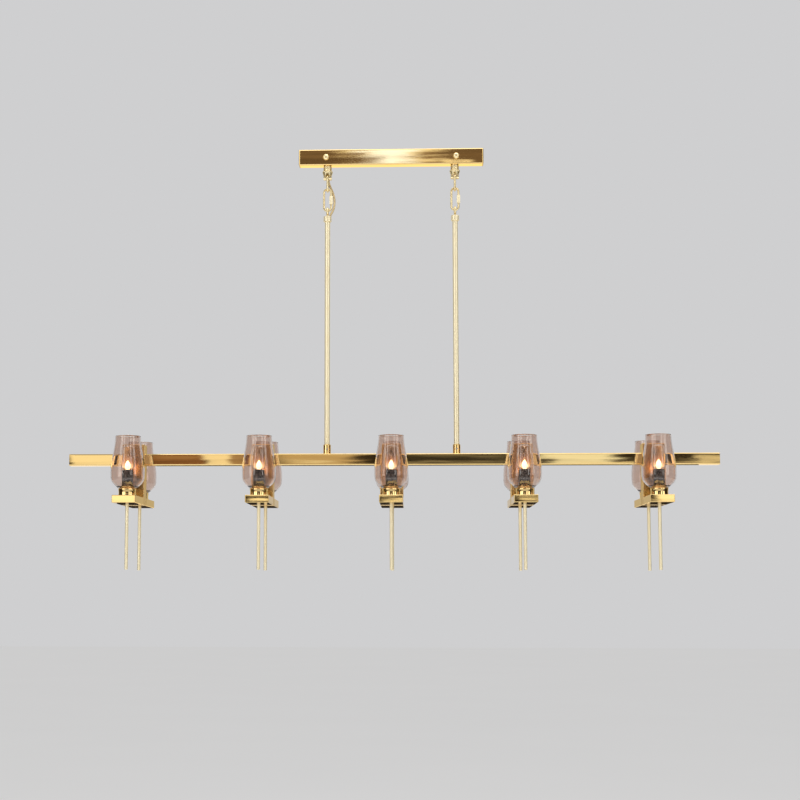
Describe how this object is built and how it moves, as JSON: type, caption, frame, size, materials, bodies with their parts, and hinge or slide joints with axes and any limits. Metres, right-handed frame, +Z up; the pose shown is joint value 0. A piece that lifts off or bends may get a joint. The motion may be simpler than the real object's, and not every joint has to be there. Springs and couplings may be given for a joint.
{
  "type": "pendant light",
  "caption": "Long linear pendant light: polished brass bar with paired glass-shaded candle lamps, hung by hooks, links and rods from a bar-shaped canopy.",
  "frame": {"origin": "middle of the canopy's top face, where it meets the ceiling", "axes": "+X along the lamp bar, -Y towards the front of the picture, +Z up to the ceiling"},
  "size_m": [1.4, 0.25, 0.922],
  "materials": {
    "polished_brass": "mirror polish",
    "satin_brass": "satin",
    "pale_gold": "satin, pale gold plate",
    "zinc_steel": "zinc plated",
    "dark_sleeve": "dark, smooth",
    "cream_insulator": "matt",
    "cord_sheath": "smooth",
    "clear_glass": "clear",
    "smoked_glass": "clear with a smoked rose tint"
  },
  "bodies": {
    "canopy": {"canopy_shell": "polished_brass", "ceiling_bracket": "zinc_steel", "hanger_blocks": "zinc_steel", "canopy_studs": "zinc_steel", "canopy_nuts": "pale_gold", "terminal_block": "cream_insulator", "hook_left": "pale_gold", "hook_right": "pale_gold", "hook_lock_nuts": "zinc_steel", "hook_pins": "satin_brass"},
    "upper_link_left": {"upper_link_left": "pale_gold", "supply_cord": "cord_sheath"},
    "upper_link_right": {"upper_link_right": "pale_gold"},
    "quick_link_left": {"quick_link_left": "pale_gold"},
    "quick_link_right": {"quick_link_right": "pale_gold"},
    "gate_sleeve_left": {"gate_sleeve_left": "satin_brass"},
    "gate_sleeve_right": {"gate_sleeve_right": "satin_brass"},
    "pendant": {"rod_eye_left": "pale_gold", "rod_eye_right": "pale_gold", "rod_collar_left": "satin_brass", "rod_collar_right": "satin_brass", "down_rod_left": "satin_brass", "down_rod_right": "satin_brass", "rod_couplings": "polished_brass", "coupling_screws": "zinc_steel", "coupling_nuts": "zinc_steel", "main_bar": "polished_brass", "bar_end_caps": "polished_brass", "station_box_1": "polished_brass", "station_box_2": "polished_brass", "station_box_3": "polished_brass", "station_box_4": "polished_brass", "station_box_5": "polished_brass", "station_covers": "polished_brass", "cover_screws": "zinc_steel", "lamp_arms_1": "polished_brass", "lamp_arms_2": "polished_brass", "lamp_arms_3": "polished_brass", "lamp_arms_4": "polished_brass", "lamp_arms_5": "polished_brass", "arm_screws": "zinc_steel", "arm_nuts": "zinc_steel", "lamp_nipples": "zinc_steel", "shade_cups": "polished_brass", "candle_sleeves": "dark_sleeve", "lamp_holders": "cream_insulator", "bulb_caps": "zinc_steel", "bulbs": "clear_glass", "drop_rods": "satin_brass"},
    "shade_1_front": {"shade_1_front": "smoked_glass"},
    "shade_1_rear": {"shade_1_rear": "smoked_glass"},
    "shade_2_front": {"shade_2_front": "smoked_glass"},
    "shade_2_rear": {"shade_2_rear": "smoked_glass"},
    "shade_3_front": {"shade_3_front": "smoked_glass"},
    "shade_3_rear": {"shade_3_rear": "smoked_glass"},
    "shade_4_front": {"shade_4_front": "smoked_glass"},
    "shade_4_rear": {"shade_4_rear": "smoked_glass"},
    "shade_5_front": {"shade_5_front": "smoked_glass"},
    "shade_5_rear": {"shade_5_rear": "smoked_glass"}
  },
  "joints": [
    {"name": "swing_left", "type": "hinge", "parent": "canopy", "child": "upper_link_left", "pos_m": [-0.14, 0, -0.0615], "axis": [1, 0, 0], "range_deg": [-12, 12]},
    {"name": "swing_right", "type": "hinge", "parent": "canopy", "child": "upper_link_right", "pos_m": [0.14, 0, -0.0615], "axis": [1, 0, 0], "range_deg": [-12, 12]},
    {"name": "link_sway_left", "type": "hinge", "parent": "upper_link_left", "child": "quick_link_left", "pos_m": [-0.14, 0, -0.09175], "axis": [0, 1, 0], "range_deg": [-10, 10], "deforming": ["supply_cord"]},
    {"name": "link_sway_right", "type": "hinge", "parent": "upper_link_right", "child": "quick_link_right", "pos_m": [0.14, 0, -0.09175], "axis": [0, 1, 0], "range_deg": [-10, 10]},
    {"name": "bar_sway", "type": "hinge", "parent": "quick_link_left", "child": "pendant", "pos_m": [-0.14, 0, -0.1305], "axis": [0, 1, 0], "range_deg": [-10, 10]},
    {"name": "gate_left", "type": "slide", "parent": "quick_link_left", "child": "gate_sleeve_left", "axis": [0, 0, 1], "range_m": [0, 0.0074]},
    {"name": "gate_right", "type": "slide", "parent": "quick_link_right", "child": "gate_sleeve_right", "axis": [0, 0, 1], "range_m": [0, 0.0074]},
    {"name": "lift_shade_1_front", "type": "slide", "parent": "pendant", "child": "shade_1_front", "axis": [0, 0, 1], "range_m": [0, 0.11]},
    {"name": "lift_shade_1_rear", "type": "slide", "parent": "pendant", "child": "shade_1_rear", "axis": [0, 0, 1], "range_m": [0, 0.11]},
    {"name": "lift_shade_2_front", "type": "slide", "parent": "pendant", "child": "shade_2_front", "axis": [0, 0, 1], "range_m": [0, 0.11]},
    {"name": "lift_shade_2_rear", "type": "slide", "parent": "pendant", "child": "shade_2_rear", "axis": [0, 0, 1], "range_m": [0, 0.11]},
    {"name": "lift_shade_3_front", "type": "slide", "parent": "pendant", "child": "shade_3_front", "axis": [0, 0, 1], "range_m": [0, 0.11]},
    {"name": "lift_shade_3_rear", "type": "slide", "parent": "pendant", "child": "shade_3_rear", "axis": [0, 0, 1], "range_m": [0, 0.11]},
    {"name": "lift_shade_4_front", "type": "slide", "parent": "pendant", "child": "shade_4_front", "axis": [0, 0, 1], "range_m": [0, 0.11]},
    {"name": "lift_shade_4_rear", "type": "slide", "parent": "pendant", "child": "shade_4_rear", "axis": [0, 0, 1], "range_m": [0, 0.11]},
    {"name": "lift_shade_5_front", "type": "slide", "parent": "pendant", "child": "shade_5_front", "axis": [0, 0, 1], "range_m": [0, 0.11]},
    {"name": "lift_shade_5_rear", "type": "slide", "parent": "pendant", "child": "shade_5_rear", "axis": [0, 0, 1], "range_m": [0, 0.11]}
  ],
  "couplings": [
    {"joint": "swing_right", "follows": "swing_left", "ratio": 1},
    {"joint": "link_sway_left", "follows": "bar_sway", "ratio": -1},
    {"joint": "link_sway_right", "follows": "bar_sway", "ratio": -1}
  ]
}
